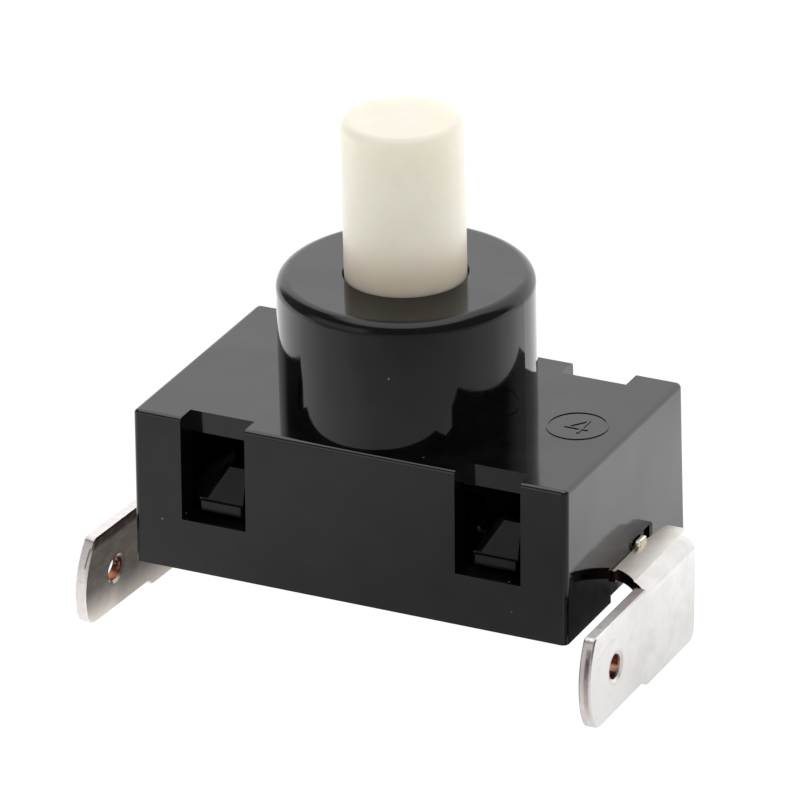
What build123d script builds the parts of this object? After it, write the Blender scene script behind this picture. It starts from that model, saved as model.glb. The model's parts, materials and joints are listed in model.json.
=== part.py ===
from build123d import *
import math
import os

# Latching (push-push) pushbutton switch with a round plain collar and two
# flag terminals.  Millimetres.  Everything is laid out with z = 0 on the
# housing's lower rim, then moved so that the row origin sits on the collar
# axis at the panel seating face (the top face of the box).
#   +X  along the long side of the box (terminal to terminal)
#   -Y  the way the two terminal blades point
#   +Z  the way the button stands out

# ---------------------------------------------------------------- housing
body_l = 30.18           # box length, X
body_w_top = 17.43       # box width at the top, Y
draft_front, draft_rear = 0.344, 0.22  # how much wider it is at the lower rim
body_x, body_y = -0.13, 0.157  # the box sits a little off the collar's axis
body_low = 0.06          # lower rim
body_h = 10.5            # top face, Z
edge_r = 0.40            # upright edges
top_r = 0.30             # top edges
cav_x = 13.5             # half length of the cavity
cav_y = 7.10             # half width of the cavity
roof_z = 9.05            # underside of the roof
collar_r = 8.18          # collar outer radius
collar_top = 19.21       # collar top
collar_edge = 0.80       # collar top edge
collar_bore = 6.75       # inside radius of the collar
collar_roof = 17.45      # underside of the collar's top
button_hole = 3.96       # hole for the button
rib_in = 5.95            # ratchet ribs, inner radius
rib_low = 12.60          # ratchet ribs, lower end
rib_deg = 18.0           # width of each of the 8 ribs

win_x0, win_x1 = 7.30, 11.82   # snap windows, |x|
win_z = 3.55                   # window sill

slot_y0, slot_y1 = -2.30, 3.60 # terminal slots in the end walls
slot_z = 2.32                  # roof of the slot, close over the strip
notch_y, notch_z = 2.72, 2.86  # its rear end is higher

# ---------------------------------------------------------------- base
base_x, base_y = 13.40, 7.00
base_z0, base_z1 = 0.45, 1.40
hook_x0, hook_x1 = 8.05, 11.10
hook_y0, hook_y1 = 6.00, 7.00
hook_out = 7.80
hook_low, hook_land, hook_top = 3.95, 4.62, 6.95
hook_slant = 1.45              # how far one side leans in by the hook's top
hook_round = 0.70

# ---------------------------------------------------------------- terminals
t = 0.80                 # sheet thickness
strip_z = base_z1        # underside of the strip
shelf_z = strip_z + t    # top of the strip and of the shelf outside
flag_x = 17.85           # outer face of the flag
bend_r = 1.00            # outer bend radius
blade_top = 2.00
blade_w = 6.30
blade_low = blade_top - blade_w
foot_z = -4.75           # lower edge of the flag's foot
bend_y0, bend_y1 = -3.30, 4.20
tip_y = -11.75
neck_y0, neck_y1 = -2.10, 2.45   # the neck in the wall slot
tab_hole_r = 0.82
tab_hole_rim, tab_hole_rim_deep = 0.22, 0.10
tab_hole_y, tab_hole_z = -7.85, -1.25
left_hole_y, left_hole_z = -8.00, -1.39
# the right flag is square to the box; the left one was bent 84.5 degrees, not
# 90, and stands a little askew: degrees out at the lower edge, degrees out at
# the tip, and how far its bend line lies nearer the box
left_splay, left_yaw, left_in = 5.5, 3.5, 0.42
wall_gap_right, wall_gap_left = 15.06, 15.32   # |x| of each shelf's inner edge

# ---------------------------------------------------------------- contacts
contact_x = 6.20
rivet_r, rivet_h = 1.40, 0.50
shank_r = 0.70
travel = 3.20            # button travel
overtravel = 0.80        # of which the bridge gives way
bridge_z0 = 5.62         # bridge underside with the switch at rest
bridge_t = 0.50
bridge_hole = 2.80

# ---------------------------------------------------------------- carrier
stem_ro, stem_ri = 2.50, 1.75
stem_low, stem_top = 4.90, 12.80
flange_r, flange_z0, flange_z1 = 4.60, 8.60, 9.60
arm_x, arm_y = 8.40, 1.90
arm_z0, arm_z1 = 7.95, 8.75

# ---------------------------------------------------------------- rotor
rotor_ri = 2.56
rotor_ro = 5.45
rotor_z0 = 9.65
rotor_body = 12.45
rotor_tip = 13.05
lug_r = 6.35
lug_deg = 14.0

# ---------------------------------------------------------------- button
button_r = 3.875
button_top = 29.71
button_edge = 0.58
flange_out = 5.60
crown_tip = 13.30
crown_root = 13.90
flange_top = 17.35

SEAT = Location((0, 0, -body_h))


def box(x0, x1, y0, y1, z0, z1):
    return Pos((x0 + x1) / 2, (y0 + y1) / 2, (z0 + z1) / 2) * Box(
        abs(x1 - x0), abs(y1 - y0), abs(z1 - z0))


def cyl(r, z0, z1, x=0.0, y=0.0):
    return Pos(x, y, (z0 + z1) / 2) * Cylinder(r, z1 - z0)


def tube(ro, ri, z0, z1, x=0.0, y=0.0):
    return cyl(ro, z0, z1, x, y) - cyl(ri, z0 - 1, z1 + 1, x, y)


def sector(ri, ro, z0, z1, mid_deg, width_deg):
    """Part of a ring, between two radii and two heights."""
    a0 = math.radians(mid_deg - width_deg / 2)
    a1 = math.radians(mid_deg + width_deg / 2)
    am = math.radians(mid_deg)
    p = lambda r, a: (r * math.cos(a), r * math.sin(a))
    w = (Line(p(ri, a0), p(ro, a0))
         + ThreePointArc(p(ro, a0), p(ro, am), p(ro, a1))
         + Line(p(ro, a1), p(ri, a1))
         + ThreePointArc(p(ri, a1), p(ri, am), p(ri, a0)))
    return Pos(0, 0, z0) * extrude(make_face(w), z1 - z0)


def prism_x(pts, x0, x1):
    """Extrude a closed (y, z) outline from x0 to x1."""
    f = make_face(Polyline(*[(0, y, z) for y, z in pts], close=True))
    return Pos(x0, 0, 0) * extrude(f, x1 - x0, dir=(1, 0, 0))


def prism_z(pts, z0, z1):
    f = make_face(Polyline(*[(x, y, 0) for x, y in pts], close=True))
    return Pos(0, 0, z0) * extrude(f, z1 - z0, dir=(0, 0, 1))


def mirror_x(s):
    return mirror(s, about=Plane.YZ)


def one(s):
    """The single solid of a shape."""
    sol = s.solids()
    if len(sol) != 1:
        raise ValueError("expected one solid, got %d" % len(sol))
    return sol[0]


# ================================================================= housing
h1 = body_w_top / 2
shell = prism_x([(body_y - h1 - draft_front, body_low), (body_y + h1 + draft_rear, body_low),
                 (body_y + h1, body_h), (body_y - h1, body_h)],
                body_x - body_l / 2, body_x + body_l / 2)
upright = [e for e in shell.edges()
           if abs(e.center().Z - body_h / 2) < 0.5 and e.length < body_h + 1]
shell = fillet(upright, edge_r)
top_face = shell.faces().sort_by(Axis.Z)[-1]
shell = fillet(top_face.edges(), top_r)

collar = cyl(collar_r, roof_z + 0.5, collar_top)
collar = fillet(collar.edges().sort_by(Axis.Z)[-1], collar_edge)
shell = shell + collar

shell -= box(-cav_x, cav_x, -cav_y, cav_y, -1, roof_z)
shell -= cyl(collar_bore, roof_z - 1, collar_roof)
shell -= cyl(button_hole, collar_roof - 1, collar_top + 1)
shell -= Pos(0, 0, collar_top - 0.05) * Cone(
    button_hole, button_hole + 0.10, 0.10,
    align=(Align.CENTER, Align.CENTER, Align.MIN))

for k in range(8):
    shell += sector(rib_in, collar_bore + 0.4, rib_low, collar_roof + 0.3,
                    22.5 + 45 * k, rib_deg)

for sx in (-1, 1):
    for sy in (-1, 1):
        shell -= box(sx * win_x0, sx * win_x1, sy * cav_y, sy * 10,
                     win_z, body_h + 1)

for sx in (-1, 1):
    shell -= box(sx * (cav_x - 1), sx * 16, slot_y0, slot_y1, -1, slot_z)
    shell -= box(sx * (cav_x - 1), sx * 16, notch_y, slot_y1, -1, notch_z)
    # ribs that hold the terminal strip down on the base
    shell += box(sx * 10.60, sx * 11.60, -1.8, 3.0, shelf_z, roof_z + 0.2)
    # corner ribs that the base butts against
    for sy in (-1, 1):
        shell += box(sx * 12.45, sx * (cav_x + 0.2), sy * 5.9, sy * (cav_y + 0.2),
                     base_z1, roof_z + 0.2)

# raised mould mark on the top face: a ring with a plain cavity number
mark_x, mark_y, mark_h = 11.55, 0.40, 0.05
mark = tube(2.0, 1.86, body_h - 0.2, body_h + mark_h, mark_x, mark_y)
mark += box(mark_x + 0.34, mark_x + 0.50, mark_y - 0.95, mark_y + 0.95,
            body_h - 0.2, body_h + mark_h)
mark += box(mark_x - 0.72, mark_x + 0.85, mark_y - 0.42, mark_y - 0.26,
            body_h - 0.2, body_h + mark_h)
mark += prism_z([(mark_x - 0.72, mark_y - 0.28), (mark_x - 0.52, mark_y - 0.36),
                 (mark_x + 0.50, mark_y + 0.95), (mark_x + 0.30, mark_y + 0.95)],
                body_h - 0.2, body_h + mark_h)
shell += mark
housing = shell

# ================================================================= base
def hook(sx, sy):
    """Snap hook: a land that catches the window's sill, a sloped lead-in above
    it, and one side that leans in towards the top with a rounded corner."""
    x0, x1 = sorted((sx * hook_x0, sx * hook_x1))
    stalk = box(x0, x1, sy * hook_y0, sy * hook_y1, base_z1 - 0.2, hook_land + 0.2)
    land = box(x0, x1, sy * (hook_y0 + 0.2), sy * hook_out, hook_low, hook_land)
    low = [e for e in land.edges().filter_by(Axis.Z)
           if abs(e.center().Y - sy * hook_out) < 0.01]
    land = fillet(low, 0.22)
    lead = prism_x([(sy * hook_y0, hook_land - 0.1), (sy * (hook_out - 0.16), hook_land - 0.1),
                    (sy * (hook_out - 0.16), hook_land + 0.10), (sy * hook_y1, hook_top),
                    (sy * (hook_y0 + 0.35), hook_top)], x0, x1)
    # the leaning side is on the left as each hook is looked at from outside
    xs, d = (x0, 1) if sy < 0 else (x1, -1)
    face = make_face(Polyline((xs - d * 0.1, 0, hook_land + 0.15), (xs + d * 0.02, 0, hook_land + 0.15),
                              (xs + d * hook_slant, 0, hook_top + 0.02),
                              (xs - d * 0.1, 0, hook_top + 0.02), close=True))
    lead -= Pos(0, -10, 0) * extrude(face, 20, dir=(0, 1, 0))
    corner = [e for e in lead.edges()
              if abs(e.center().Y) > hook_y1 + 0.15 and abs(e.center().X - xs) > 0.2
              and abs(e.center().X - xs) < hook_slant - 0.2 and e.length > 1.5
              and e.center().Z > hook_land + 0.5]
    corner = [e for e in corner if e.bounding_box().size.Z > 1.0]
    if len(corner) != 1:
        raise ValueError("hook corner edges: %d" % len(corner))
    lead = fillet(corner, hook_round)
    return stalk + land + lead


base = box(-base_x, base_x, -base_y, base_y, base_z0, base_z1)
base = fillet(base.edges().filter_by(Axis.Z), 0.5)
for sx in (-1, 1):
    base += box(sx * (base_x - 0.5), sx * 14.88, slot_y0 + 0.1, slot_y1 - 0.1,
                base_z0, base_z1)
    for sy in (-1, 1):
        base += hook(sx, sy)
        # guide posts for the carrier's arms and the bridge
        base += box(sx * 6.80, sx * 8.60, sy * 2.25, sy * 3.25,
                    base_z1 - 0.2, roof_z - 0.15)
        # side cheeks that locate the wide part of the strip
    base += box(sx * 9.60, sx * 12.00, 3.45, 4.25, base_z1 - 0.2, 3.0)
    base += box(sx * 9.60, sx * 12.00, -3.05, -2.25, base_z1 - 0.2, 3.0)
# spring post
post = cyl(1.15, base_z1 - 0.2, 3.40)
post = chamfer(post.edges().sort_by(Axis.Z)[-1], 0.3)
base += post
# shallow cores and ejector marks on the underside
for sx in (-1, 1):
    base -= box(sx * 2.4, sx * 11.6, 3.9, 5.6, base_z0 - 1, base_z0 + 0.30)
    base -= box(sx * 2.4, sx * 11.6, -5.6, -3.9, base_z0 - 1, base_z0 + 0.30)
    base -= cyl(1.0, base_z0 - 1, base_z0 + 0.08, sx * 5.0, 0)
base -= tube(2.3, 2.0, base_z0 - 1, base_z0 + 0.12)


# ================================================================= terminal
def askew(splay, yaw, inward):
    """Where a flag stands: turned about its bend line, then about the upright
    line at the bend's front end."""
    bx, cz = flag_x - bend_r, shelf_z - bend_r
    turn = Pos(bx, 0, cz) * Rot(0, -splay, 0) * Pos(-bx, 0, -cz)
    swing = Pos(bx - inward, bend_y0, 0) * Rot(0, 0, yaw) * Pos(-bx, -bend_y0, 0)
    return turn, swing


def terminal(splay=0.0, yaw=0.0, inward=0.0, gap=15.06, hole=(-7.85, -1.25), seen=1):
    """The right-hand terminal.  gap: |x| of the shelf's inner edge; hole: (y, z)
    of the blade's hole; seen: 1 if its wide rim is on the outer face, -1 if it
    is on the face towards the box."""
    # inner strip, retained behind the end wall, then the neck in the slot
    s = box(4.45, 9.40, -2.05, 2.05, strip_z, shelf_z)
    s += box(9.20, 12.30, -2.05, 3.30, strip_z, shelf_z)
    s += box(12.30, 13.35, -2.90, 4.25, strip_z, shelf_z)
    s += box(13.20, gap + 0.14, neck_y0, neck_y1, strip_z, shelf_z)
    # shelf outside the wall: its front edge flares into the blade's top edge
    bx = flag_x - bend_r
    front = Spline((14.00, -1.72), (15.08, -1.75), (15.63, -1.92), (16.41, -2.43),
                   (bx, -2.93), tangents=((1, 0), (0.55, -1)))
    edge = (Line((14.00, 5.20), (14.00, -1.72)) + front
            + Line((bx, -2.93), (bx, bend_y1))
            + Line((bx, bend_y1), (16.78, 4.75))
            + ThreePointArc((16.78, 4.75), (16.66, 5.08), (16.35, 5.20))
            + Line((16.35, 5.20), (14.00, 5.20)))
    shelf = Pos(0, 0, strip_z) * extrude(make_face(edge), t)
    # bend
    cx, cz = bx, shelf_z - bend_r
    ri = bend_r - t
    a0, a1 = math.radians(90), math.radians(splay)
    am = (a0 + a1) / 2
    at = lambda r, a: (cx + r * math.cos(a), 0, cz + r * math.sin(a))
    arc = (ThreePointArc(at(bend_r, a0), at(bend_r, am), at(bend_r, a1))
           + Line(at(bend_r, a1), at(ri, a1))
           + ThreePointArc(at(ri, a1), at(ri, am), at(ri, a0))
           + Line(at(ri, a0), at(bend_r, a0)))
    bend = Pos(0, bend_y0, 0) * extrude(make_face(arc), bend_y1 - bend_y0, dir=(0, 1, 0))
    # its front end slants back towards the shelf's edge
    bend -= prism_z([(bx - 0.1, bend_y0 - 0.1), (bx - 0.1, -2.93), (bx, -2.93),
                     (flag_x - 0.15, bend_y0), (flag_x - 0.15, bend_y0 - 0.1)],
                    cz - 0.1, shelf_z + 0.1)
    # flag: foot and 6.3 mm blade
    p = lambda y, z: (0, y, z)
    low = blade_low
    out = (Line(p(bend_y1, cz), p(bend_y1, 0.3))
           + Line(p(bend_y1, 0.3), p(3.95, foot_z))
           + Line(p(3.95, foot_z), p(-3.20, foot_z))
           + Line(p(-3.20, foot_z), p(-3.75, low))
           + Line(p(-3.75, low), p(-10.95, low))
           + ThreePointArc(p(-10.95, low), p(tip_y, -1.25), p(-10.80, blade_top))
           + Line(p(-10.80, blade_top), p(bend_y0, blade_top))
           + Line(p(bend_y0, blade_top), p(bend_y0, cz))
           + Line(p(bend_y0, cz), p(bend_y1, cz)))
    f = make_face(out)
    near = lambda y, z: [v for v in f.vertices()
                         if abs(v.Y - y) < 0.01 and abs(v.Z - z) < 0.01]
    f = fillet(near(-10.95, low), 1.30)
    f = fillet(near(-10.80, blade_top), 0.50)
    f = fillet(near(3.95, foot_z), 0.90)
    f = fillet(near(-3.20, foot_z) + near(-3.75, low), 0.30)
    flag = Pos(flag_x - t, 0, 0) * extrude(f, t, dir=(1, 0, 0))
    rim = [e for e in flag.edges()
           if e.bounding_box().size.X < 1e-4 and (e.center().Y < bend_y0 - 0.2
                                                 or e.center().Z < -3.0)]
    flag = chamfer(rim, 0.09)
    hy, hz = hole
    flag -= Pos(flag_x - t / 2, hy, hz) * Rot(0, 90, 0) * Cylinder(tab_hole_r, 4)
    for side, wide, deep in ((seen, tab_hole_rim, tab_hole_rim_deep), (-seen, 0.05, 0.05)):
        rim = Cone(tab_hole_r, tab_hole_r + 2 * wide, 2 * deep,
                   align=(Align.CENTER, Align.CENTER, Align.MIN))
        x = flag_x - deep if side > 0 else flag_x - t + deep
        flag -= Pos(x, hy, hz) * Rot(0, 90 * side, 0) * rim
    turn, swing = askew(splay, yaw, inward)
    outside = swing * (shelf + bend + turn * flag)
    # the shelf's inner edge: along the wall, then a little away from it
    outside -= prism_z([(10, -20), (gap, -20), (gap, 2.60), (gap + 0.34, 5.02),
                        (gap + 0.58, 5.30), (gap + 0.58, 7), (10, 7)], 0, 4)
    s += outside
    # small barb lanced up from the neck, bearing on the wall over the slot
    barb = box(gap + 0.01, gap + 0.24, 1.10, 2.50, shelf_z - 0.2, shelf_z + 0.55)
    barb = fillet([e for e in barb.edges().filter_by(Axis.X)
                   if abs(e.center().Z - shelf_z - 0.55) < 0.01], 0.35)
    barb = fillet([e for e in barb.edges().filter_by(Axis.Y)
                   if abs(e.center().Z - shelf_z - 0.55) < 0.01
                   and abs(e.center().X - gap - 0.01) > 0.02], 0.10)
    s += barb
    # seat for the fixed contact's shank
    s -= cyl(shank_r, 0, 5, contact_x, 0)
    return s


term_r = terminal(gap=wall_gap_right, hole=(tab_hole_y, tab_hole_z))
term_l = mirror_x(terminal(left_splay, left_yaw, left_in, wall_gap_left,
                           (left_hole_y, left_hole_z), -1))

# fixed silver contacts, riveted into the strips
fc = cyl(rivet_r, shelf_z, shelf_z + rivet_h, contact_x, 0)
fc = fillet(fc.edges().sort_by(Axis.Z)[-1], 0.18)
fc += cyl(shank_r, strip_z + 0.02, shelf_z + 0.1, contact_x, 0)
fixed_r = fc
fixed_l = mirror_x(fc)

# ================================================================= bridge
bridge_z1 = bridge_z0 + bridge_t
br = box(-8.0, 8.0, -arm_y, arm_y, bridge_z0, bridge_z1)
br = fillet(br.edges().filter_by(Axis.Z), 0.6)
br += cyl(4.30, bridge_z0, bridge_z1)
br -= cyl(bridge_hole, 0, 20)
for sx in (-1, 1):
    br -= cyl(shank_r, 0, 20, sx * contact_x, 0)
bridge = br
mc = cyl(rivet_r, bridge_z0 - rivet_h, bridge_z0, contact_x, 0)
mc = fillet(mc.edges().sort_by(Axis.Z)[0], 0.18)
mc += cyl(shank_r, bridge_z0 - 0.1, bridge_z1 - 0.02, contact_x, 0)
moving_r = mc
moving_l = mirror_x(mc)

# ================================================================= carrier
ca = cyl(stem_ro, stem_low, stem_top)
ca += cyl(3.35, stem_low, bridge_z0 - 0.02)                 # snap collar under the bridge
ca += cyl(flange_r, flange_z0, flange_z1)                   # carries spring and rotor
for sx in (-1, 1):
    ca += box(sx * 3.9, sx * arm_x, -arm_y, arm_y, arm_z0, arm_z1)
    ca += box(sx * 3.9, sx * (flange_r + 1.2), -arm_y, arm_y, arm_z1 - 0.1, flange_z0 + 0.3)
ca -= cyl(stem_ri, 0, 12.0)
# lead-in slits that let the snap collar close through the bridge's hole
for a in (0, 90):
    ca -= Rot(0, 0, a) * box(-4, 4, -0.3, 0.3, 0, 7.3)
carrier = ca

# ================================================================= rotor


def teeth(ri, ro, z_root, z_tip, n, up, phase):
    """Ring of n slanted teeth between z_root and z_tip."""
    ring = None
    step = 360.0 / n
    for k in range(n):
        a0 = phase + k * step
        pts = []
        for frac, h in ((0.0, 0.0), (0.78, 1.0), (0.98, 0.0)):
            pts.append((a0 + frac * step, h))
        r_mid = (ri + ro) / 2
        # each tooth is a wedge: loft between two radial triangles is avoided by
        # cutting a straight triangular prism with the ring
        am = math.radians(a0 + 0.5 * step)
        tang = Vector(-math.sin(am), math.cos(am), 0)
        rad = Vector(math.cos(am), math.sin(am), 0)
        half = r_mid * math.radians(step) / 2
        z0, z1 = (z_root, z_tip)
        base_off = -0.25 if up else 0.25
        P = [rad * 0 + tang * (-half * 0.96) + Vector(0, 0, z0 + base_off),
             tang * (-half * 0.96) + Vector(0, 0, z0),
             tang * (half * 0.60) + Vector(0, 0, z1),
             tang * (half * 0.92) + Vector(0, 0, z0),
             tang * (half * 0.92) + Vector(0, 0, z0 + base_off)]
        f = make_face(Polyline(*[tuple(v + rad * (ri + 0.15)) for v in P], close=True))
        w = extrude(f, ro - ri - 0.30, dir=tuple(rad))
        ring = w if ring is None else ring + w
    return ring


ro = tube(rotor_ro, rotor_ri, rotor_z0, rotor_body)
ro += teeth(3.2, rotor_ro, rotor_body, rotor_tip, 8, True, 0)
for k in range(4):
    lug = sector(rotor_ro - 0.3, lug_r, 10.9, rotor_tip, 90 * k, lug_deg)
    # slanted end that rides on the rib ends
    am = math.radians(90 * k)
    cut = Rot(0, 0, 90 * k) * (Pos(lug_r, 0, rotor_tip + 0.45) * Rot(-22, 0, 0)
                               * Box(4, 6, 0.9))
    ro += lug - cut
rotor = ro

# ================================================================= button
bu = cyl(button_r, 15.0, button_top)
bu = fillet(bu.edges().sort_by(Axis.Z)[-1], button_edge)
bu += cyl(flange_out, crown_root, flange_top)
bu -= cyl(3.05, 12, 15.6)
bu -= cyl(2.45, 12, 20.4)
bu -= cyl(1.80, 12, 27.6)
bu += teeth(3.2, flange_out, crown_root, crown_tip, 8, False, 10)
for k in range(8):
    bu += sector(flange_out - 0.3, 6.35, 14.2, flange_top - 0.1, 45 * k, 14)
button = bu


# ================================================================= springs
def spring(r_mean, wire, z0, z1, turns):
    """Open coil with its end turns flattened against the seats."""
    free = z1 - z0 - wire
    path = Helix(pitch=free / turns, height=free, radius=r_mean)
    sec = Plane(origin=path @ 0, z_dir=path % 0) * Circle(wire / 2)
    s = sweep(sec, path=path, is_frenet=True)
    return Pos(0, 0, z0 + wire / 2) * s


return_spring = spring(1.42, 0.32, base_z1 + 0.02, 11.98, 9.0)
contact_spring = spring(3.20, 0.36, bridge_z1 + 0.02, flange_z0 - 0.02, 2.5)
button_spring = spring(2.05, 0.26, stem_top + 0.02, 20.38, 7.0)

nodes = {
    "housing": housing,
    "base": base,
    "button": button,
    "button_spring": button_spring,
    "ratchet_rotor": rotor,
    "contact_carrier": carrier,
    "return_spring": return_spring,
    "contact_bridge": bridge,
    "contact_spring": contact_spring,
    "bridge_contact_left": moving_l,
    "bridge_contact_right": moving_r,
    "terminal_left": term_l,
    "terminal_right": term_r,
    "fixed_contact_left": fixed_l,
    "fixed_contact_right": fixed_r,
}

if __name__ == "__main__":
    os.makedirs("parts", exist_ok=True)
    for name, shape in nodes.items():
        s = one(shape)
        export_step(s.moved(SEAT), "parts/%s.step" % name)
        print("%-22s %8.2f mm3  valid %s" % (name, s.volume, s.is_valid))
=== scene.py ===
import json
import math

import bpy
from mathutils import Matrix, Vector


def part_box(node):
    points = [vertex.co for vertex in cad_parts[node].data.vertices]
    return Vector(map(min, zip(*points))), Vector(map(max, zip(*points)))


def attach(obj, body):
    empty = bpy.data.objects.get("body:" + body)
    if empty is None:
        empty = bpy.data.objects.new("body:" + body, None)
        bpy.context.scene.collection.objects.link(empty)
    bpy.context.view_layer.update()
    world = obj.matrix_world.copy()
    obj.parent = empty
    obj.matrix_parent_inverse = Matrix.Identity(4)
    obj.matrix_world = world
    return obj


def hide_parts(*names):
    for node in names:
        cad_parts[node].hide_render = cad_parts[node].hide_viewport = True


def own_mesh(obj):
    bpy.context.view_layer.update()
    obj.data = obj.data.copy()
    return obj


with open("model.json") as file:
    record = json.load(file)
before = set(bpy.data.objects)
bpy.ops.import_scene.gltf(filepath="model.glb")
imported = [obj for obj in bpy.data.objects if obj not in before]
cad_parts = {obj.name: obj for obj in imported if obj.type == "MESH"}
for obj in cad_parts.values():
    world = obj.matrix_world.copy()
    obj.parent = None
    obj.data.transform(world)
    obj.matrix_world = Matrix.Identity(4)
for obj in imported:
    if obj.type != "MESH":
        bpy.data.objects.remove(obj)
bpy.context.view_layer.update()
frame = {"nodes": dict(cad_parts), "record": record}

scene = bpy.context.scene
nodes = frame["nodes"]

# ------------------------------------------------------------------ helpers
MM = 0.001
LOW_Z = min(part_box(n)[0].z for n in ("terminal_left", "terminal_right"))


def link(obj):
    scene.collection.objects.link(obj)
    return obj


class Mat:
    """A node material with short calls for the nodes used here. Lengths in the patterns are millimetres."""

    def __init__(self, name):
        self.m = bpy.data.materials.new(name)
        self.m.use_nodes = True
        self.nt = self.m.node_tree
        self.nt.nodes.clear()
        self.out = self.n("ShaderNodeOutputMaterial")
        self.tc = self.n("ShaderNodeTexCoord")
        s = self.n("ShaderNodeVectorMath")
        s.operation = "SCALE"
        s.inputs["Scale"].default_value = 1000.0
        self.l(self.tc.outputs["Object"], s.inputs[0])
        self.p = s.outputs[0]
        x = self.n("ShaderNodeSeparateXYZ")
        self.l(self.p, x.inputs[0])
        self.x, self.y, self.z = x.outputs
        y = self.n("ShaderNodeSeparateXYZ")
        self.l(self.tc.outputs["Normal"], y.inputs[0])
        self.nx, self.ny, self.nz = y.outputs

    def n(self, kind):
        return self.nt.nodes.new(kind)

    def l(self, a, b):
        self.nt.links.new(a, b)

    def put(self, value, socket):
        if isinstance(value, bpy.types.NodeSocket):
            self.l(value, socket)
        elif isinstance(value, (tuple, list)) and len(value) == 3 and len(socket.default_value) == 4:
            socket.default_value = (*value, 1.0)
        else:
            socket.default_value = value

    def bsdf(self, **sockets):
        b = self.n("ShaderNodeBsdfPrincipled")
        for k, v in sockets.items():
            self.put(v, b.inputs[k.replace("_", " ")])
        self.l(b.outputs[0], self.out.inputs["Surface"])
        return b

    def scaled(self, sx, sy, sz, off=(0, 0, 0)):
        v = self.n("ShaderNodeVectorMath")
        v.operation = "MULTIPLY_ADD"
        self.l(self.p, v.inputs[0])
        v.inputs[1].default_value = (sx, sy, sz)
        v.inputs[2].default_value = off
        return v.outputs[0]

    def noise(self, scale, detail=2.0, rough=0.5, dist=0.0, vec=None):
        t = self.n("ShaderNodeTexNoise")
        self.l(vec if vec is not None else self.p, t.inputs["Vector"])
        t.inputs["Scale"].default_value = scale
        t.inputs["Detail"].default_value = detail
        t.inputs["Roughness"].default_value = rough
        t.inputs["Distortion"].default_value = dist
        return t.outputs[0]

    def cells(self, scale, vec=None):
        t = self.n("ShaderNodeTexVoronoi")
        self.l(vec if vec is not None else self.p, t.inputs["Vector"])
        t.inputs["Scale"].default_value = scale
        x = self.n("ShaderNodeSeparateXYZ")
        self.l(t.outputs["Color"], x.inputs[0])
        return t.outputs["Distance"], x.outputs[0], x.outputs[1]

    def f(self, op, a, b=0.0, c=0.0, clamp=False):
        t = self.n("ShaderNodeMath")
        t.operation = op
        t.use_clamp = clamp
        self.put(a, t.inputs[0])
        self.put(b, t.inputs[1])
        self.put(c, t.inputs[2])
        return t.outputs[0]

    def rng(self, v, a, b, c=0.0, d=1.0, smooth=True):
        t = self.n("ShaderNodeMapRange")
        t.interpolation_type = "SMOOTHSTEP" if smooth else "LINEAR"
        self.put(v, t.inputs["Value"])
        for k, q in zip(("From Min", "From Max", "To Min", "To Max"), (a, b, c, d)):
            self.put(q, t.inputs[k])
        return t.outputs[0]

    def mix(self, fac, a, b, kind="MIX"):
        t = self.n("ShaderNodeMix")
        t.data_type = "RGBA"
        t.blend_type = kind
        self.put(fac, t.inputs["Factor"])
        self.put(a, t.inputs["A"] if False else t.inputs[6])
        self.put(b, t.inputs[7])
        return t.outputs[2]

    def bump(self, height, dist_mm, normal=None, strength=1.0):
        t = self.n("ShaderNodeBump")
        self.put(strength, t.inputs["Strength"])
        t.inputs["Distance"].default_value = dist_mm * MM
        self.put(height, t.inputs["Height"])
        if normal is not None:
            self.l(normal, t.inputs["Normal"])
        return t.outputs[0]

    def blob(self, cx, cy, cz, r0, r1):
        """1 inside r0 mm of a point, falling to 0 at r1 mm."""
        v = self.n("ShaderNodeVectorMath")
        v.operation = "DISTANCE"
        self.l(self.p, v.inputs[0])
        v.inputs[1].default_value = (cx, cy, cz)
        return self.rng(v.outputs["Value"], r0, r1, 1.0, 0.0)


# ------------------------------------------------------------------ materials
def black_plastic(name, rough=(0.055, 0.11), tone=(0.0016, 0.0042), dust=0.45, ior=1.385, rubbed=0.0):
    m = Mat(name)
    cloud = m.noise(0.35, 3.0, 0.6)
    fine = m.noise(9.0, 2.0, 0.5)
    base = m.mix(m.rng(cloud, 0.35, 0.7), (tone[0],) * 2 + (tone[0] * 1.05,), (tone[1],) * 2 + (tone[1] * 1.08,))
    d, c0, c1 = m.cells(0.62)
    speck = m.f("MULTIPLY", m.rng(d, 0.030, 0.050, 1.0, 0.0), m.rng(c0, 1.0 - dust, 1.0 - dust + 0.001))
    d2, c2, c3 = m.cells(1.7)
    grit = m.f("MULTIPLY", m.rng(d2, 0.03, 0.06, 1.0, 0.0), m.rng(c2, 0.962, 0.964, 0.0, 0.35))
    dirt = m.f("MAXIMUM", speck, grit)
    col = m.mix(m.f("MULTIPLY", dirt, 0.55), base, (0.30, 0.29, 0.27))
    r = m.rng(m.noise(1.3, 4.0, 0.65), 0.3, 0.75, rough[0], rough[1])
    r = m.f("ADD", r, m.f("MULTIPLY", dirt, 0.5), clamp=True)
    wave = m.noise(0.16, 1.0, 0.4)
    b1 = m.bump(wave, 0.06)
    b2 = m.bump(m.noise(1.1, 2.0, 0.5), 0.0022, b1)
    b3 = m.bump(fine, 0.00035, b2)
    if rubbed:
        # the arris round the top is rubbed to a higher polish
        arris = m.f("MULTIPLY", m.rng(m.nz, 0.05, 0.30), m.rng(m.nz, 0.998, 0.97))
        arris = m.f("MULTIPLY", arris, m.f("MULTIPLY", m.rng(m.z, -0.38, -0.31), m.rng(m.z, 0.10, 0.03)))
        ior = m.f("MULTIPLY_ADD", arris, rubbed, ior)
    m.bsdf(Base_Color=col, Roughness=r, IOR=ior, Normal=b3)
    return m.m


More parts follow.
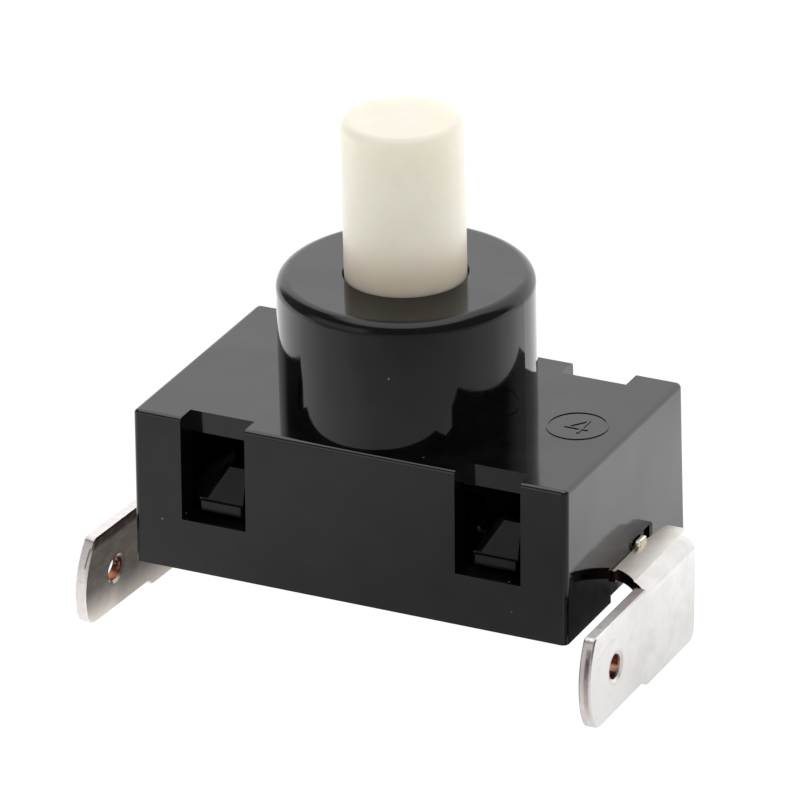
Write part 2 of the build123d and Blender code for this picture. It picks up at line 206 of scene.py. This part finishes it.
def ivory_plastic(name):
    m = Mat(name)
    cloud = m.noise(0.22, 3.0, 0.55)
    col = m.mix(m.rng(cloud, 0.35, 0.68), (0.870, 0.815, 0.700), (0.905, 0.855, 0.752))
    # painted shade: the button is painted darker and more tan towards its foot, inside the collar
    foot_shade = m.rng(m.z, 12.6, 8.5)
    col = m.mix(m.f("MULTIPLY", foot_shade, 0.75), col, (0.720, 0.600, 0.450))
    spot = m.f("MULTIPLY", m.rng(m.noise(5.0, 2.0, 0.6), 0.72, 0.78), 0.22)
    col = m.mix(spot, col, (0.52, 0.42, 0.31))
    r = m.rng(m.noise(2.2, 3.0, 0.6), 0.3, 0.7, 0.30, 0.42)
    b = m.bump(m.noise(1.0, 2.0, 0.5), 0.010)
    b = m.bump(m.noise(14.0, 2.0, 0.6), 0.0022, b)
    m.bsdf(Base_Color=col, Roughness=r, IOR=1.48, Normal=b, Subsurface_Weight=1.0,
           Subsurface_Radius=(1.0, 0.82, 0.60), Subsurface_Scale=0.0024)
    return m.m


def white_acetal(name):
    m = Mat(name)
    col = m.mix(m.rng(m.noise(0.4, 3.0, 0.55), 0.35, 0.7), (0.70, 0.69, 0.65), (0.80, 0.79, 0.75))
    r = m.rng(m.noise(2.0, 2.0, 0.5), 0.3, 0.7, 0.34, 0.48)
    b = m.bump(m.noise(12.0, 2.0, 0.6), 0.002)
    m.bsdf(Base_Color=col, Roughness=r, IOR=1.48, Normal=b, Subsurface_Weight=0.25,
           Subsurface_Radius=(1.0, 0.9, 0.8), Subsurface_Scale=0.001)
    return m.m


def spring_steel(name):
    m = Mat(name)
    col = m.mix(m.rng(m.noise(3.0, 3.0, 0.6), 0.35, 0.7), (0.44, 0.44, 0.45), (0.60, 0.60, 0.60))
    r = m.rng(m.noise(11.0, 3.0, 0.6), 0.3, 0.7, 0.18, 0.34)
    b = m.bump(m.noise(1.0, 2.0, 0.6, 0.0, m.scaled(26, 26, 6)), 0.0012)
    m.bsdf(Base_Color=col, Roughness=r, Metallic=1.0, Normal=b)
    return m.m


def copper_alloy(name):
    m = Mat(name)
    col = m.mix(m.rng(m.noise(0.7, 4.0, 0.6), 0.35, 0.68), (0.66, 0.36, 0.20), (0.76, 0.47, 0.28))
    col = m.mix(m.f("MULTIPLY", m.rng(m.noise(2.4, 3.0, 0.65), 0.56, 0.70), 0.5), col, (0.30, 0.13, 0.06))
    r = m.rng(m.noise(6.0, 3.0, 0.6), 0.3, 0.7, 0.22, 0.40)
    b = m.bump(m.noise(1.0, 2.0, 0.6, 0.0, m.scaled(1.2, 18, 18)), 0.0016)
    m.bsdf(Base_Color=col, Roughness=r, Metallic=1.0, Normal=b)
    return m.m


def silver_contact(name):
    m = Mat(name)
    col = m.mix(m.rng(m.noise(1.6, 3.0, 0.6), 0.35, 0.7), (0.74, 0.73, 0.70), (0.86, 0.86, 0.84))
    col = m.mix(m.f("MULTIPLY", m.rng(m.noise(4.0, 3.0, 0.6), 0.6, 0.72), 0.4), col, (0.36, 0.32, 0.26))
    r = m.rng(m.noise(9.0, 3.0, 0.6), 0.3, 0.7, 0.18, 0.36)
    b = m.bump(m.noise(7.0, 3.0, 0.6), 0.003)
    m.bsdf(Base_Color=col, Roughness=r, Metallic=1.0, Normal=b)
    return m.m


def plated_brass(name, side):
    """Nickel-plated stamped strip: bright rolled faces, duller cut edges, brown brass bare in the hole and in places
    along the cuts. Shade and highlights are also painted into the colour in places: inside the box, on the shelf,
    under the bend, in the hole and on the faces turned to +x."""
    m = Mat(name)
    ax = m.f("ABSOLUTE", m.nx)
    az_ = m.f("ABSOLUTE", m.nz)
    flag = m.rng(m.f("ABSOLUTE", m.x), 16.7, 16.9)
    broad = m.f("MAXIMUM", m.rng(ax, 0.55, 0.80), m.f("MULTIPLY", m.rng(az_, 0.75, 0.93), m.f("SUBTRACT", 1.0, flag)))
    rolled = m.f("MULTIPLY", m.rng(m.f("ABSOLUTE", m.ny), 0.45, 0.25), m.rng(m.y, -3.5, -3.3))
    broad = m.f("MAXIMUM", broad, m.f("MULTIPLY", rolled, m.rng(m.z, -14.0, -13.6)))
    edge = m.f("SUBTRACT", 1.0, broad, clamp=True)
    cloud = m.noise(0.42, 4.0, 0.6, 0.4)
    col = m.mix(m.rng(cloud, 0.36, 0.66), (0.480, 0.470, 0.455), (0.545, 0.538, 0.528))
    if side > 0:
        # painted highlight: the face turned to +x, the blade's outward face, is painted lighter towards the tip
        rubbed = m.f("MULTIPLY", m.rng(m.y, -2.0, -10.5), m.rng(m.nx, 0.5, 0.8))
        col = m.mix(m.f("MULTIPLY", rubbed, 0.9), col, (0.690, 0.682, 0.668))
    stain = m.rng(m.noise(0.62, 4.0, 0.62, 0.8, m.scaled(1, 0.55, 1, (3.1, 7.7, 1.3))), 0.54, 0.74)
    col = m.mix(m.f("MULTIPLY", stain, 0.35), col, (0.48, 0.43, 0.38))
    pink = m.rng(m.noise(0.9, 2.0, 0.5, 0.3, m.scaled(1, 1, 1, (11.0, 2.0, 5.0))), 0.60, 0.76)
    col = m.mix(m.f("MULTIPLY", pink, 0.22), col, (0.50, 0.42, 0.42))
    # cut edges: plated too, with fine brown showing through here and there
    torn = m.noise(2.6, 4.0, 0.68, 0.2, m.scaled(1, 1, 0.5))
    if side > 0:
        cut = m.mix(m.rng(torn, 0.40, 0.70), (0.560, 0.530, 0.510), (0.660, 0.645, 0.635))
    else:
        cut = m.mix(m.rng(torn, 0.40, 0.70), (0.560, 0.520, 0.510), (0.640, 0.620, 0.610))
    bare = m.f("MULTIPLY", m.rng(m.noise(1.5, 4.0, 0.7, 0.3, m.scaled(1, 1, 1, (5.0, 1.0, 9.0))), 0.60, 0.76), 0.45)
    cut = m.mix(bare, cut, (0.30, 0.19, 0.13))
    col = m.mix(edge, col, cut)
    y, z = m.y, m.z
    if side > 0:
        # top edge of the blade: tarnished, clearing towards the tip
        top = m.f("MULTIPLY", m.rng(m.nz, 0.55, 0.85), m.f("MULTIPLY", flag, m.rng(z, -8.75, -8.6)))
        top = m.f("MULTIPLY", top, m.f("MULTIPLY", m.rng(y, -9.6, -3.8, 0.0, 1.0, False), m.rng(y, -3.0, -3.4)))
        col = m.mix(m.f("MULTIPLY", top, 0.70), col, (0.160, 0.125, 0.115))
        # middle of the tip's cut: a soft brown stripe
        tip = m.f("MULTIPLY", m.rng(m.ny, -0.55, -0.85), m.rng(y, -10.6, -11.0))
        band = m.f("MULTIPLY", m.rng(m.x, 17.34, 17.50), m.rng(m.x, 17.80, 17.66))
        tall = m.f("MULTIPLY", m.rng(z, -14.2, -12.0), m.rng(z, -8.95, -9.3))
        tip = m.f("MULTIPLY", m.f("MULTIPLY", tip, band), tall)
        tip = m.f("MULTIPLY", tip, m.rng(torn, 0.30, 0.60, 0.45, 1.0))
        col = m.mix(tip, col, m.mix(m.rng(z, -11.8, -10.2), (0.400, 0.300, 0.290), (0.150, 0.085, 0.090)))
        # front cut of the bend and of the shelf: painted near-black shade, tinted red-brown
        frontcut_shade = m.f("MULTIPLY", m.rng(m.ny, -0.35, -0.62), m.f("MULTIPLY", m.rng(y, -3.9, -3.5), m.rng(z, -10.4, -9.8)))
        col = m.mix(m.f("MULTIPLY", frontcut_shade, 0.95), col, (0.030, 0.006, 0.006))
        # bare brass on the barb and beside it, mottled from dark brass up to a painted bright glint
        near = m.blob(15.20, 1.8, -8.0, 0.70, 1.05)
        blot = m.noise(3.0, 3.0, 0.6, 0.4)
        brass_and_glint = m.mix(m.rng(blot, 0.34, 0.46), (0.34, 0.18, 0.10), (0.95, 0.92, 0.78))
        col = m.mix(near, col, brass_and_glint)
        hole_x, hole_y, hole_z = 17.45, -7.85, -11.75
        # inside the hole: painted shade at the top, a painted bright band below it, dark again at the bottom edge
        hole_shade_and_glint = m.mix(m.rng(z, -12.25, -11.95), (0.86, 0.52, 0.38), (0.150, 0.020, 0.014))
        hole_shade_and_glint = m.mix(m.rng(z, -12.30, -12.42), hole_shade_and_glint, (0.10, 0.030, 0.040))
    else:
        # dark scratch on the tip's cut
        v = m.n("ShaderNodeVectorMath")
        v.operation = "DOT_PRODUCT"
        m.l(m.p, v.inputs[0])
        v.inputs[1].default_value = (0.985, 0.0, -0.172)
        line = m.f("ABSOLUTE", m.f("ADD", v.outputs["Value"], 15.425))
        scratch = m.f("MULTIPLY", m.rng(line, 0.03, 0.09, 1.0, 0.0),
                      m.f("MULTIPLY", m.rng(z, -10.45, -10.2), m.rng(z, -8.95, -9.15)))
        scratch = m.f("MULTIPLY", scratch, m.rng(y, -10.4, -10.8))
        col = m.mix(m.f("MULTIPLY", scratch, 0.85), col, (0.13, 0.11, 0.10))
        hole_x, hole_y, hole_z = -17.55, -7.94, -11.83
        # inside the hole: painted shade at the top, painted lighter brown brass lower down, with rubbed bright
        # patches
        hole_shade_and_glint = m.mix(m.rng(z, -12.55, -12.05), (0.27, 0.105, 0.055), (0.030, 0.008, 0.005))
        hole_shade_and_glint = m.mix(m.f("MULTIPLY", m.rng(torn, 0.54, 0.60), 0.22), hole_shade_and_glint, (0.72, 0.45, 0.32))
        # painted shade on the inner face, darkest towards the bend above, broken up by noise and tinted brown
        shade_noise = m.noise(0.9, 4.0, 0.62, 0.6, m.scaled(1, 0.6, 1.4, (1.7, 0.4, 6.0)))
        inner_face_shade = m.f("MULTIPLY", m.rng(z, -14.2, -10.0), m.rng(shade_noise, 0.36, 0.62, 0.30, 1.0))
        inner_face_shade = m.f("MULTIPLY", m.f("MULTIPLY", inner_face_shade, m.rng(m.nx, 0.5, 0.8)), 0.75)
        # painted light: the faces turned to +x, the blade's inner face, are painted lighter
        col = m.mix(m.f("MULTIPLY", m.rng(m.nx, 0.5, 0.8), 0.75), col, (0.780, 0.700, 0.620))
        col = m.mix(m.f("MULTIPLY", inner_face_shade, 0.75), col, (0.400, 0.315, 0.260))
        # painted shade on the inner face, darker towards the rear and the bottom, under the box
        rear = m.f("MULTIPLY", m.rng(y, -8.6, -6.6), m.f("MULTIPLY", m.rng(z, -11.2, -12.6), m.rng(m.nx, 0.5, 0.8)))
        col = m.mix(m.f("MULTIPLY", rear, 0.8), col, (0.360, 0.325, 0.285))
        # painted shade just under the bend: dark red-brown, broken up by noise
        bend_underside_shade = m.f("MULTIPLY", m.rng(z, -9.35, -9.0), m.rng(m.nx, 0.5, 0.8))
        col = m.mix(m.f("MULTIPLY", bend_underside_shade, m.rng(shade_noise, 0.30, 0.55, 0.45, 0.85)), col, (0.120, 0.055, 0.045))
    # the shelf between wall and bend: dulled, sloping a little towards the bend, and painted darker next to the wall
    # as a painted reflection of the black wall
    ledge = m.f("MULTIPLY", m.rng(m.nz, 0.75, 0.93), m.f("SUBTRACT", 1.0, flag))
    ledge = m.f("MULTIPLY", ledge, m.rng(z, -8.6, -8.4))
    shelf_wall_shade = m.f("ADD", m.rng(m.f("ABSOLUTE", m.x), 15.1, 16.9, 0.0, 0.75, False), m.f("MULTIPLY", m.noise(0.9, 3.0, 0.6, 0.3), 0.35))
    col = m.mix(m.f("MULTIPLY", ledge, 0.9), col, m.mix(m.rng(shelf_wall_shade, 0.10, 0.95), (0.33, 0.285, 0.25), (0.60, 0.585, 0.555)))
    # painted shade: the metal inside the box is painted near-black
    col = m.mix(m.rng(m.f("ABSOLUTE", m.x), 14.6, 14.2), col, (0.028, 0.024, 0.022))
    # the hole: bare brass inside, painted dark towards its top as shade and lighter lower down as painted light; its
    # rim rubbed bright in places
    dy = m.f("SUBTRACT", y, hole_y)
    dz = m.f("SUBTRACT", z, hole_z)
    rad = m.f("SQRT", m.f("ADD", m.f("MULTIPLY", dy, dy), m.f("MULTIPLY", dz, dz)))
    wall = m.f("MULTIPLY", m.rng(rad, 0.90, 0.98, 1.0, 0.0), m.rng(ax, 0.40, 0.75, 1.0, 0.0))
    if side > 0:
        wall = m.f("MULTIPLY", wall, m.rng(m.x, 17.74, 17.54))
    col = m.mix(wall, col, hole_shade_and_glint)
    halo = m.f("MULTIPLY", m.rng(rad, 1.02, 1.30, 1.0, 0.0), m.rng(ax, 0.40, 0.75))
    col = m.mix(m.f("MULTIPLY", halo, 0.30), col, (0.40, 0.29, 0.25))
    r = m.rng(m.noise(1.1, 4.0, 0.62), 0.3, 0.72, 0.14, 0.25)
    r = m.f("ADD", r, m.f("MULTIPLY", edge, 0.16), clamp=True)
    r = m.f("ADD", r, m.f("MULTIPLY", ledge, 0.22), clamp=True)
    roll = m.noise(1.0, 3.0, 0.6, 0.0, m.scaled(1.0, 0.9, 22.0))
    lean = m.f("MULTIPLY", m.f("ABSOLUTE", m.x), -0.22)
    slope = m.f("MULTIPLY", m.rng(m.nz, 0.75, 0.93), m.rng(z, -8.6, -8.4))
    b = m.bump(lean, 1.0, None, slope)
    b = m.bump(m.noise(0.28, 2.0, 0.5), 0.050, b)
    b = m.bump(roll, 0.0010, b)
    b = m.bump(m.f("MULTIPLY", m.noise(5.0, 4.0, 0.7, 0.0, m.scaled(1, 1, 1)), edge), 0.012, b)
    m.bsdf(Base_Color=col, Roughness=r, Metallic=1.0, Normal=b)
    return m.m


finish = {
    "black_plastic": black_plastic("black_plastic", rubbed=0.20),
    "black_plastic_base": black_plastic("black_plastic_base", (0.12, 0.22), (0.0022, 0.0055), 0.02, 1.30),
    "ivory_plastic": ivory_plastic("ivory_plastic"),
    "white_acetal": white_acetal("white_acetal"),
    "spring_steel": spring_steel("spring_steel"),
    "copper_alloy": copper_alloy("copper_alloy"),
    "silver_contact": silver_contact("silver_contact"),
}
slot_of = {s["node"]: s["material_slot"] for s in frame["record"]["subparts"]}
for name, obj in nodes.items():
    if name.startswith("terminal_"):
        mat = plated_brass("plated_brass_" + name[9:], 1 if name.endswith("right") else -1)
    else:
        mat = finish[slot_of[name]]
    for s in obj.material_slots:
        s.material = mat

# ------------------------------------------------------------------ coil springs
def coil(name, r, wire, z0, z1, turns, dead=1.1, seg=56, ring=12):
    """A compression spring between two flat seats: closed end coils, ground flat, wire tips cut square."""
    n = int(turns * seg)
    live = turns - 2 * dead
    lo, hi = z0 + wire * 0.5, z1 - wire * 0.5
    pitch0 = wire * 1.02
    gap = (hi - lo) - 2 * dead * pitch0
    pts = []
    for i in range(n + 1):
        t = turns * i / n
        if t < dead:
            h = pitch0 * t
        elif t > turns - dead:
            h = (hi - lo) - pitch0 * (turns - t)
        else:
            u = (t - dead) / live
            e = u + math.sin(2 * math.pi * u) * 0.045 * -1
            h = dead * pitch0 + gap * e
        a = 2 * math.pi * t
        rr = r - 0.012 * math.exp(-((t - 0) ** 2) * 6) - 0.012 * math.exp(-((t - turns) ** 2) * 6)
        pts.append(Vector((rr * math.cos(a), rr * math.sin(a), lo + h)))
    verts, faces = [], []
    for i, p in enumerate(pts):
        q0, q1 = pts[max(i - 1, 0)], pts[min(i + 1, n)]
        tan = (q1 - q0).normalized()
        out = Vector((p.x, p.y, 0)).normalized()
        side = (out - tan * out.dot(tan)).normalized()
        up = tan.cross(side)
        for k in range(ring):
            b = 2 * math.pi * k / ring
            v = p + (side * math.cos(b) + up * math.sin(b)) * (wire / 2)
            v.z = min(max(v.z, z0 + 0.012), z1 - 0.012)
            verts.append(v * MM)
    for i in range(n):
        for k in range(ring):
            a, b = i * ring + k, i * ring + (k + 1) % ring
            faces.append((a, a + ring, b + ring, b))
    faces.append(tuple(range(ring)))
    faces.append(tuple(reversed(range(n * ring, (n + 1) * ring))))
    me = bpy.data.meshes.new(name)
    me.from_pydata([tuple(v) for v in verts], [], faces)
    me.validate()
    for p in me.polygons:
        p.use_smooth = len(p.vertices) == 4
    me.materials.append(finish["spring_steel"])
    return link(bpy.data.objects.new(name, me))


def between(node):
    lo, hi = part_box(node)
    return lo.z / MM, hi.z / MM, (hi.x - lo.x) / 2 / MM


z0, z1, ro = between("return_spring")
ret = coil("return_spring_wire", ro - 0.16, 0.32, z0, z1, 9.5)
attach(ret, "casing")
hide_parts("return_spring")
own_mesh(ret)

z0, z1, ro = between("contact_spring")
con = coil("contact_spring_wire", ro - 0.18, 0.36, z0, z1, 3.4, dead=0.8)
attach(con, "carrier")
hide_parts("contact_spring")
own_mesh(con)

z0, z1, ro = between("button_spring")
but = coil("button_spring_wire", ro - 0.13, 0.26, z0, z1, 8.0)
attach(but, "button")
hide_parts("button_spring")

# ------------------------------------------------------------------ floor
def flat(name, size, z, step=8):
    verts, faces = [], []
    for j in range(step + 1):
        for i in range(step + 1):
            verts.append(((i / step - 0.5) * size, (j / step - 0.5) * size, z))
    for j in range(step):
        for i in range(step):
            a = j * (step + 1) + i
            faces.append((a, a + 1, a + step + 2, a + step + 1))
    me = bpy.data.meshes.new(name)
    me.from_pydata(verts, [], faces)
    return link(bpy.data.objects.new(name, me))


AZ, EL, ROLL = math.radians(26.652), math.radians(25.308), math.radians(-1.414)
floor = flat("floor", 6.0, LOW_Z - 0.00002)
# the floor glows: its light is painted as an emission map, brighter behind and dimmer towards the camera
fm = Mat("floor")
toward = fm.f("ADD", fm.f("MULTIPLY", fm.x, math.sin(AZ)), fm.f("MULTIPLY", fm.y, -math.cos(AZ)))
ramp = fm.n("ShaderNodeValToRGB")
ramp.color_ramp.interpolation = "EASE"
stops = [(-60, 1.45), (-20, 1.60), (2, 1.42), (16, 1.10), (29, 1.00), (45, 0.80), (60, 0.60), (100, 0.55)]
lo_s, hi_s = stops[0][0], stops[-1][0]
while len(ramp.color_ramp.elements) < len(stops):
    ramp.color_ramp.elements.new(0.5)
for e, (s, v) in zip(ramp.color_ramp.elements, stops):
    e.position = (s - lo_s) / (hi_s - lo_s)
    e.color = (v / 2, v / 2, v / 2, 1)
fm.l(fm.rng(toward, lo_s, hi_s, 0.0, 1.0, False), ramp.inputs[0])
# a painted pool of light on the floor, to the back right
pool = fm.blob(27.0, 24.0, -15.25, 2.0, 22.0)
glow = fm.f("MULTIPLY", ramp.outputs[0], fm.f("MULTIPLY_ADD", pool, 0.45, 2.0))
# soft shade under the box: signed distance to its footprint
ox = fm.f("SUBTRACT", fm.f("ABSOLUTE", fm.f("ADD", fm.x, 0.13)), 15.0)
oy = fm.f("SUBTRACT", fm.f("ABSOLUTE", fm.f("SUBTRACT", fm.y, 0.157)), 8.8)
out_x, out_y = fm.f("MAXIMUM", ox, 0.0), fm.f("MAXIMUM", oy, 0.0)
away = fm.f("SQRT", fm.f("ADD", fm.f("MULTIPLY", out_x, out_x), fm.f("MULTIPLY", out_y, out_y)))
inside = fm.f("MINIMUM", fm.f("MAXIMUM", ox, oy), 0.0)
shade = fm.rng(fm.f("ADD", away, inside), -0.6, 3.5, 0.10, 1.0)
glow = fm.f("MULTIPLY", glow, shade)
# in front the light falls off from left to right
lateral = fm.f("ADD", fm.f("MULTIPLY", fm.x, math.cos(AZ)), fm.f("MULTIPLY", fm.y, math.sin(AZ)))
front = fm.f("MULTIPLY", fm.rng(toward, 6.0, 13.0), fm.rng(toward, 44.0, 30.0))
front = fm.f("MULTIPLY", front, fm.rng(lateral, 7.0, -3.0))
glow = fm.f("MULTIPLY", glow, fm.f("MULTIPLY_ADD", front, fm.rng(lateral, -33.0, -11.0, 0.12, -0.29, False), 1.0))
em = fm.n("ShaderNodeEmission")
fm.l(glow, em.inputs["Strength"])
# the sweep itself is burnt out to plain white where it is looked at directly
paper = fm.n("ShaderNodeEmission")
paper.inputs["Strength"].default_value = 1.04
path = fm.n("ShaderNodeLightPath")
pick = fm.n("ShaderNodeMixShader")
fm.l(path.outputs["Is Camera Ray"], pick.inputs[0])
fm.l(em.outputs[0], pick.inputs[1])
fm.l(paper.outputs[0], pick.inputs[2])
fm.l(pick.outputs[0], fm.out.inputs["Surface"])
floor.data.materials.append(fm.m)

# ------------------------------------------------------------------ light
world = bpy.data.worlds.new("studio")
scene.world = world
world.use_nodes = True
wn = world.node_tree
wn.nodes.clear()


def wmath(op, a, b=0.0):
    t = wn.nodes.new("ShaderNodeMath")
    t.operation = op
    for v, k in ((a, 0), (b, 1)):
        if isinstance(v, bpy.types.NodeSocket):
            wn.links.new(v, t.inputs[k])
        else:
            t.inputs[k].default_value = v
    return t.outputs[0]


def wstep(v, a, b, c=0.0, d=1.0):
    t = wn.nodes.new("ShaderNodeMapRange")
    t.interpolation_type = "SMOOTHSTEP"
    wn.links.new(v, t.inputs["Value"])
    for k, q in (("From Min", a), ("From Max", b), ("To Min", c), ("To Max", d)):
        t.inputs[k].default_value = q
    return t.outputs[0]


def wdot(x, y, z):
    t = wn.nodes.new("ShaderNodeVectorMath")
    t.operation = "DOT_PRODUCT"
    wn.links.new(tc.outputs["Generated"], t.inputs[0])
    t.inputs[1].default_value = (x, y, z)
    return t.outputs["Value"]


wo = wn.nodes.new("ShaderNodeOutputWorld")
bg = wn.nodes.new("ShaderNodeBackground")
tc = wn.nodes.new("ShaderNodeTexCoord")
rear = wdot(-math.sin(AZ), math.cos(AZ), 0.0)
side = wdot(math.cos(AZ), math.sin(AZ), 0.0)
high = wdot(0.0, 0.0, 1.0)
turn = wmath("ARCTAN2", side, rear)
# a broad bright screen behind, reaching round to the right
screen = wmath("MULTIPLY", wstep(turn, math.radians(-46), math.radians(-30)),
               wstep(turn, math.radians(88), math.radians(66)))
# a weaker fill low on the left of the camera
fill = wmath("MULTIPLY", wstep(turn, math.radians(-152), math.radians(-138)),
             wstep(turn, math.radians(-78), math.radians(-100)))
fill = wmath("MULTIPLY", fill, wstep(high, 0.62, 0.40))
# the soft box overhead
over = wstep(high, 0.80, 0.93)
sky = wmath("ADD", 0.22, wmath("MULTIPLY", screen, 1.44))
sky = wmath("ADD", sky, wmath("MULTIPLY", fill, 0.70))
sky = wmath("ADD", wmath("MULTIPLY", sky, wmath("SUBTRACT", 1.0, over)), wmath("MULTIPLY", over, 2.3))
even = wmath("ADD", 0.82, wmath("MULTIPLY", screen, 0.50))
even = wmath("ADD", wmath("MULTIPLY", even, wmath("SUBTRACT", 1.0, over)), wmath("MULTIPLY", over, 0.42))
kind = wn.nodes.new("ShaderNodeLightPath")
diffuse = kind.outputs["Is Diffuse Ray"]
sky = wmath("ADD", wmath("MULTIPLY", sky, wmath("SUBTRACT", 1.0, diffuse)), wmath("MULTIPLY", even, diffuse))
wn.links.new(sky, bg.inputs["Strength"])
bg.inputs["Color"].default_value = (1, 1, 1, 1)
wn.links.new(bg.outputs[0], wo.inputs["Surface"])

# ------------------------------------------------------------------ camera
back = Vector((math.sin(AZ) * math.cos(EL), -math.cos(AZ) * math.cos(EL), math.sin(EL)))
fwd = -back
right = fwd.cross(Vector((0, 0, 1))).normalized()
up = right.cross(fwd)
r2 = right * math.cos(ROLL) + up * math.sin(ROLL)
u2 = -right * math.sin(ROLL) + up * math.cos(ROLL)
at = Vector((0, 0, -0.0005)) + back * 0.5008975 + r2 * -0.0005621 + u2 * 0.0002649
cam_data = bpy.data.cameras.new("camera")
cam_data.lens = 7938.04 / 800 * 36
cam_data.sensor_width = 36
cam_data.clip_start = 0.01
cam_data.clip_end = 20
cam = link(bpy.data.objects.new("camera", cam_data))
cam.matrix_world = Matrix((
    (r2.x, u2.x, back.x, at.x),
    (r2.y, u2.y, back.y, at.y),
    (r2.z, u2.z, back.z, at.z),
    (0, 0, 0, 1)))
scene.camera = cam
scene.view_settings.view_transform = "Standard"
scene.view_settings.look = "None"
scene.view_settings.exposure = 0
scene.view_settings.gamma = 1

bpy.context.view_layer.update()
